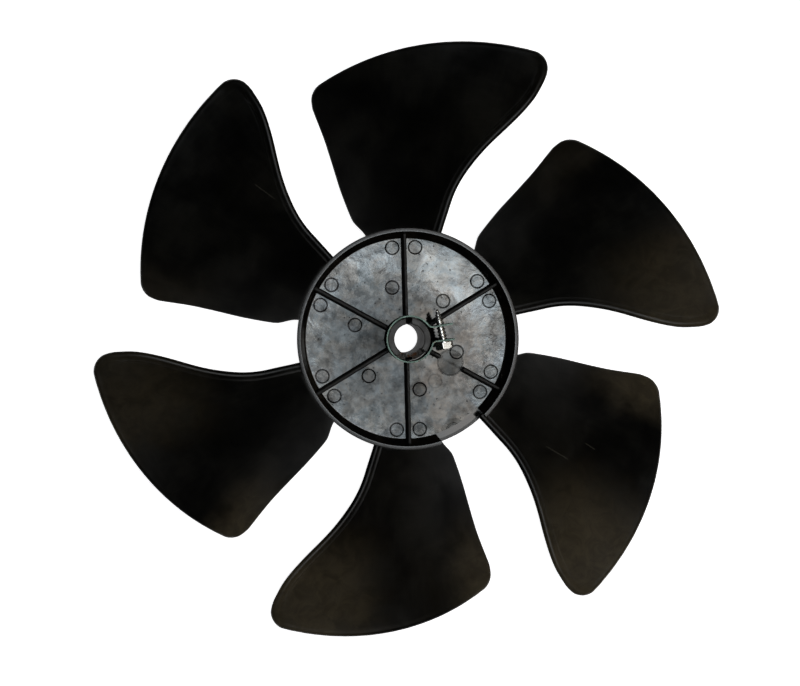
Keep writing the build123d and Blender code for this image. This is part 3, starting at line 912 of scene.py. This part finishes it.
def web_plastic():
    """The web's front, glossy and mottled, with the round marks of the mould's pins."""
    made = Nodes("web_plastic")
    radius = made.radius()
    marks = web_marks(made, radius)
    pin_ring, pin_disc, trace = marks["pin_ring"], marks["pin_disc"], marks["trace"]
    matt = made.most(marks["pocket"], marks["core"])
    matt = made.math("MULTIPLY", matt, made.math("SUBTRACT", 1.0, pin_disc))
    away = made.steps(radius, 13.0, 20.0)

    cloud = made.noise(11.0, 4.0, 0.55, 0.6)
    blotch = made.noise(3.6, 5.0, 0.6, 0.3)
    fine = made.noise(1.0, 3.0, 0.6)
    speck = made.noise(0.35, 2.0, 0.6)
    pits = made.steps(made.noise(1.5, 1.0, 0.4), 0.72, 0.78)
    brown = made.steps(made.math("ADD", cloud, made.math("MULTIPLY", blotch, 0.6)), 0.75, 0.95)
    dull = made.steps(made.math("ADD", blotch, made.math("MULTIPLY", fine, 0.5)), 0.6, 0.95)
    tone = made.math("ADD", made.noise(8.0, 4.0, 0.6, 0.5), made.math("MULTIPLY", fine, 0.4))
    tint = made.colours(made.steps(tone, 0.55, 0.85), colour(0.92, 0.98, 1.0), colour(1.0, 0.955, 0.89))

    base = made.colours(brown, colour(0.003, 0.003, 0.003), colour(0.02, 0.015, 0.01))
    base = made.colours(matt, base, colour(0.022, 0.02, 0.016))
    base = made.colours(made.most(pin_ring, marks["core_ring"], pits), base, BLACK)

    rough = made.math("ADD", made.steps(cloud, 0.3, 0.7, 0.07, 0.11), made.steps(dull, 0.0, 1.0, -0.01, 0.06))
    rough = made.math("MULTIPLY", rough, made.steps(radius, 13.0, 20.0, 0.4, 1.0))
    rough = made.math("MULTIPLY_ADD", made.most(matt, trace), 0.2, rough)

    sheen = made.steps(cloud, 0.34, 0.66, 0.62, 0.38)
    sheen = made.math("ADD", sheen, made.steps(blotch, 0.35, 0.65, -0.13, 0.13))
    sheen = made.math("MULTIPLY_ADD", fine, 0.36, made.math("SUBTRACT", sheen, 0.19))
    dulled = (
        (made.most(marks["pocket"], made.math("MULTIPLY", marks["core"], 0.4)), -0.08),
        (made.most(pin_ring, made.math("MULTIPLY", marks["faint_ring"], 0.4)), -0.34),
        (pin_disc, -0.09),
        (made.most(pits, trace), -0.15),
    )
    for mask, change in dulled:
        sheen = made.math("MULTIPLY_ADD", mask, change, sheen)

    high = made.math("MULTIPLY_ADD", pin_ring, -0.12, made.math("MULTIPLY", pin_disc, -0.06))
    for mask, change in ((marks["core_ring"], -0.08), (marks["pocket_ring"], -0.1), (pits, -0.04)):
        high = made.math("MULTIPLY_ADD", mask, change, high)
    normal = made.bump(cloud, away, 0.08)
    normal = made.bump(blotch, away, 0.025, normal)
    normal = made.bump(speck, 0.5, 0.008, normal)

    made.surface(Specular_IOR_Level=made.math("MAXIMUM", sheen, 0.01), Specular_Tint=tint)
    return finish_plastic(made, base, rough, made.bump(high, 1.0, 1.0, normal))


def rib_plastic():
    """Rib tops and the boss, duller and browner than the web."""
    made = Nodes("rib_plastic")
    cloud = made.noise(3.0, 4.0, 0.6)
    speck = made.noise(0.4, 3.0, 0.7)
    raised = made.steps(made.z, 24.0, 30.0)
    base = made.colours(made.steps(cloud, 0.35, 0.7), colour(0.002, 0.002, 0.0015), BROWN)
    base = made.colours(raised, base, colour(0.02, 0.018, 0.015))
    rough = made.math("SUBTRACT", made.steps(cloud, 0.3, 0.7, 0.5, 0.62), made.math("MULTIPLY", raised, 0.12))
    radius = made.radius()
    bore = made.steps(radius, BORE_RADIUS + 0.05, BORE_RADIUS + 0.15, 1.0, 0.0)
    from_side = made.math("ABSOLUTE", made.math("SUBTRACT", radius, BOSS_RADIUS))
    side = made.steps(from_side, 0.08, 0.2, 1.0, 0.0)
    made.surface(Specular_IOR_Level=made.math("MULTIPLY_ADD", made.most(bore, side), -0.3, 0.34))
    low = made.bump(cloud, 0.5, 0.06, made.edge(0.15))
    return finish_plastic(made, base, rough, made.bump(speck, 0.7, 0.02, low))


def torn_plastic():
    """The broken corner of the boss: pale, rough, with brown patches in a noise pattern."""
    made = Nodes("torn_plastic")
    cloud = made.noise(1.8, 4.0, 0.7)
    grit = made.noise(0.3, 3.0, 0.7)
    brown_patches = made.steps(made.noise(2.2, 2.0, 0.6, 0.8), 0.56, 0.64)
    base = made.colours(made.steps(cloud, 0.35, 0.65), colour(0.03, 0.027, 0.022), colour(0.14, 0.13, 0.12))
    base = made.colours(brown_patches, base, colour(0.09, 0.035, 0.012))
    rough = made.steps(grit, 0.3, 0.7, 0.5, 0.75)
    return finish_plastic(made, base, rough, made.bump(grit, 1.0, 0.12, made.bump(cloud, 1.0, 0.3)))


def blade_painted_sheen(made, radius, angle, cloud):
    """Mask of a painted warm sheen, a brown colour that stands in for warm light glancing off the blades:
    near the blades' sides, towards their tips, and more on the lower ones.
    """
    turn = made.math("SUBTRACT", made.math("DIVIDE", angle, math.pi / 3), 0.425)
    place = made.math("MULTIPLY", made.math("SUBTRACT", turn, made.math("ROUND", turn)), 60.0)
    place = made.math("MULTIPLY_ADD", made.math("SUBTRACT", cloud, 0.5), 14.0, place)
    sides = made.most(made.steps(place, -14.0, 2.0, 1.0, 0.0), made.steps(place, 12.0, 22.0))
    lower = made.math("MULTIPLY_ADD", made.x, 0.3, made.math("MULTIPLY", made.y, -1.0))
    painted_sheen_mask = made.math("MULTIPLY", made.steps(radius, 74.0, 116.0), made.steps(lower, -110.0, 70.0))
    painted_sheen_mask = made.math("MULTIPLY", painted_sheen_mask, sides)
    return made.math("MULTIPLY", painted_sheen_mask, made.steps(made.noise(7.0, 5.0, 0.65, 1.0), 0.3, 0.7, 0.55, 1.0))


def blade_plastic():
    """The blades: satin black with fibres, swirls, a painted warm sheen towards the lower tips and a few
    scratches.
    """
    made = Nodes("blade_plastic")
    radius, angle = made.radius(), made.angle()
    cloud = made.noise(24.0, 4.0, 0.55, 0.3)
    fibres = made.join(made.math("MULTIPLY", angle, 70.0), made.math("MULTIPLY", radius, 0.06))
    streak = made.noise(1.0, 3.0, 0.65, vector=fibres)
    rounds = made.join(made.math("MULTIPLY", angle, 9.0), made.math("MULTIPLY", radius, 1.1))
    swirl = made.noise(1.0, 4.0, 0.7, 1.2, vector=rounds)
    speck = made.noise(0.8, 3.0, 0.7)
    film = made.steps(made.math("MULTIPLY", cloud, made.math("ADD", streak, 0.45)), 0.36, 0.66)
    wisps = made.steps(made.math("MULTIPLY", swirl, cloud), 0.3, 0.42)
    scratch = made.most(*[made.scratch(*ends) for ends in SCRATCHES])
    base = made.colours(film, colour(0.0006, 0.0006, 0.0004), colour(0.0035, 0.0032, 0.002))
    base = made.colours(made.math("MULTIPLY", wisps, 0.25), base, colour(0.012, 0.011, 0.008))
    # Painted warm sheen: brown colour where warm light glances off the lower blades' tips
    base = made.colours(blade_painted_sheen(made, radius, angle, cloud), base, colour(0.056, 0.044, 0.026))
    base = made.colours(scratch, base, colour(0.03, 0.028, 0.022))
    rough = made.math("ADD", made.steps(cloud, 0.3, 0.7, 0.3, 0.38), made.steps(swirl, 0.3, 0.7, -0.03, 0.05))
    rough = made.math("MULTIPLY_ADD", scratch, -0.1, rough)
    made.surface(Specular_IOR_Level=made.steps(cloud, 0.3, 0.7, 0.17, 0.25))
    normal = made.bump(made.noise(26.0, 2.0), 1.0, 0.45)
    normal = made.bump(streak, 0.5, 0.02, normal)
    normal = made.bump(made.math("MULTIPLY_ADD", scratch, -3.0, speck), 0.5, 0.01, normal)
    return finish_plastic(made, base, rough, normal)


def screw_steel():
    """Bright zinc-plated steel."""
    made = Nodes("screw_steel")
    cloud = made.noise(2.5, 4.0, 0.6)
    brush = made.noise(0.5, 3.0, 0.6)
    base = made.colours(made.steps(cloud, 0.3, 0.65), colour(0.84, 0.84, 0.82), colour(0.68, 0.68, 0.66))
    made.surface(
        Base_Color=base,
        Metallic=1.0,
        Roughness=made.steps(brush, 0.3, 0.7, 0.2, 0.3),
        Normal=made.bump(brush, 0.4, 0.006, made.edge(0.1)),
    )
    return made.material


def clamp_steel():
    """Band with a metal upper edge; its faces, the same steel, carry painted shade: dark green and not metal.
    Both have rusty stains.
    """
    made = Nodes("clamp_steel")
    cloud = made.noise(2.5, 4.0, 0.6)
    brush = made.noise(0.5, 3.0, 0.6, vector=made.stretched((1.0, 1.0, 0.1)))
    # Upper edge of the band; below it the same steel is painted as shade
    top = made.steps(made.z, BAND_FRONT - 0.18, BAND_FRONT - 0.04)
    edge = made.colours(made.steps(cloud, 0.3, 0.65), colour(0.1, 0.14, 0.12), colour(0.06, 0.085, 0.072))
    stains = made.steps(made.noise(5.0, 3.0, 0.6, 0.5), 0.6, 0.72)
    edge = made.colours(stains, edge, colour(0.12, 0.075, 0.045))
    # Painted shade: the band's faces are dark green and not metal
    face = made.colours(made.steps(cloud, 0.3, 0.7), colour(0.004, 0.013, 0.01), colour(0.012, 0.024, 0.018))
    stains = made.steps(made.noise(3.0, 3.0, 0.6, 0.5), 0.58, 0.68)
    face = made.colours(stains, face, colour(0.05, 0.022, 0.008))
    duller = made.math("MULTIPLY_ADD", top, -0.3, 0.3)
    made.surface(
        Base_Color=made.colours(top, face, edge),
        Metallic=top,
        Specular_IOR_Level=made.math("MULTIPLY_ADD", top, 0.4, 0.1),
        Roughness=made.math("ADD", made.steps(brush, 0.3, 0.7, 0.4, 0.5), duller),
        Normal=made.bump(brush, 0.5, 0.01, made.edge(0.12)),
    )
    return made.material


def dress(node, material):
    """Gives one of the part's own nodes this material."""
    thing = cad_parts[node]
    for slot in thing.material_slots:
        slot.material = material
    if not thing.material_slots:
        thing.data.materials.append(material)


# Floor, world and lights
FLOOR_REACH = 1.5
FLOOR_GLOW = 0.97
WORLD_SEEN = 0.9
WORLD_LIGHT = 0.004
COOL = (0.93, 1.0, 1.05)
WARM = (1.0, 0.8, 0.5)
GREENISH = (0.95, 1.0, 0.85)
HUB_CENTRE = (0.0, 0.0, 0.0)


def set_floor():
    """Plain pale floor at the part's lowest point."""
    low = cad_box[0][2]
    corners = [(-FLOOR_REACH, -FLOOR_REACH), (FLOOR_REACH, -FLOOR_REACH), (FLOOR_REACH, FLOOR_REACH),
               (-FLOOR_REACH, FLOOR_REACH)]
    mesh = bpy.data.meshes.new("floor")
    mesh.from_pydata([(x, y, low) for x, y in corners], [], [(0, 1, 2, 3)])
    floor = bpy.data.objects.new("floor", mesh)
    scene.collection.objects.link(floor)
    made = Nodes("floor_paper")
    made.surface(
        Base_Color=made.colours(made.noise(60.0, 3.0), colour(0.9, 0.9, 0.9), colour(0.93, 0.93, 0.93)),
        Roughness=0.9,
        Emission_Color=colour(1.0, 1.0, 1.0),
        Emission_Strength=FLOOR_GLOW,
    )
    mesh.materials.append(made.material)


def set_world():
    """Pale where the camera sees it, and nearly dark as a light."""
    world = bpy.data.worlds.new("studio")
    world.use_nodes = True
    nodes, links = world.node_tree.nodes, world.node_tree.links
    back = nodes["Background"]
    back.inputs["Color"].default_value = (0.95, 0.97, 1.0, 1.0)
    seen = nodes.new("ShaderNodeMath")
    seen.operation = "MULTIPLY_ADD"
    seen.inputs[1].default_value, seen.inputs[2].default_value = WORLD_SEEN, WORLD_LIGHT
    links.new(nodes.new("ShaderNodeLightPath").outputs["Is Camera Ray"], seen.inputs[0])
    links.new(seen.outputs[0], back.inputs["Strength"])
    scene.world = world
    scene.view_settings.view_transform = "Standard"


def area_light(name, place, size, radiance, tint, aim=None, shape="RECTANGLE"):
    """An area light, facing straight down unless it has an aim; radiance is what a mirror would show."""
    data = bpy.data.lights.new(name, "AREA")
    data.shape = shape
    data.size, data.size_y = size[0] * 0.001, size[1] * 0.001
    fill = math.pi / 4 if shape == "ELLIPSE" else 1.0
    data.energy = radiance * math.pi * fill * data.size * data.size_y
    data.color = tint
    light = bpy.data.objects.new(name, data)
    light.location = Vector(place) * 0.001
    aim = aim or (place[0], place[1], 0.0)
    light.rotation_euler = (Vector(aim) - Vector(place)).to_track_quat("-Z", "Y").to_euler()
    light.visible_camera = False
    scene.collection.objects.link(light)


def set_lights():
    """Soft boxes and glows that the glossy web mirrors, and low lights for the walls and the edges."""
    area_light("softbox_left", (29.0, -5.0, 560.0), (102.0, 330.0), 3.6, COOL)
    area_light("softbox_far_left", (-66.0, -5.0, 560.0), (88.0, 300.0), 1.7, COOL)
    area_light("softbox_right", (145.0, -5.0, 560.0), (130.0, 330.0), 4.2, (1.03, 1.0, 0.97))
    area_light("top_glow", (75.0, 108.0, 562.0), (200.0, 120.0), 0.1, COOL, shape="ELLIPSE")
    area_light("top_glow_core", (75.0, 95.0, 563.0), (130.0, 80.0), 0.15, COOL, shape="ELLIPSE")
    area_light("small_glow", (68.0, 18.0, 564.0), (84.0, 56.0), 1.8, COOL, shape="ELLIPSE")
    area_light("small_glow_core", (66.0, 17.0, 565.0), (54.0, 44.0), 8.0, COOL, shape="ELLIPSE")
    area_light("screw_glow", (355.0, 5.0, 560.0), (80.0, 90.0), 3.0, (1.0, 1.0, 0.98), aim=HUB_CENTRE)
    area_light("warm_near", (470.0, 130.0, 560.0), (160.0, 240.0), 0.4, WARM, aim=HUB_CENTRE)
    area_light("warm_far", (940.0, 50.0, 560.0), (700.0, 200.0), 0.4, WARM, aim=HUB_CENTRE)
    area_light("low_bottom", (-190.0, -1000.0, 560.0), (400.0, 200.0), 0.3, GREENISH, aim=HUB_CENTRE)
    area_light("low_top", (300.0, 950.0, 560.0), (400.0, 200.0), 0.2, GREENISH, aim=HUB_CENTRE)


set_camera()
set_floor()
set_world()
set_lights()
moulding([hub_plastic(), web_plastic(), rib_plastic(), blade_plastic(), torn_plastic()])
screw(screw_steel())
dress("hub_clamp", clamp_steel())
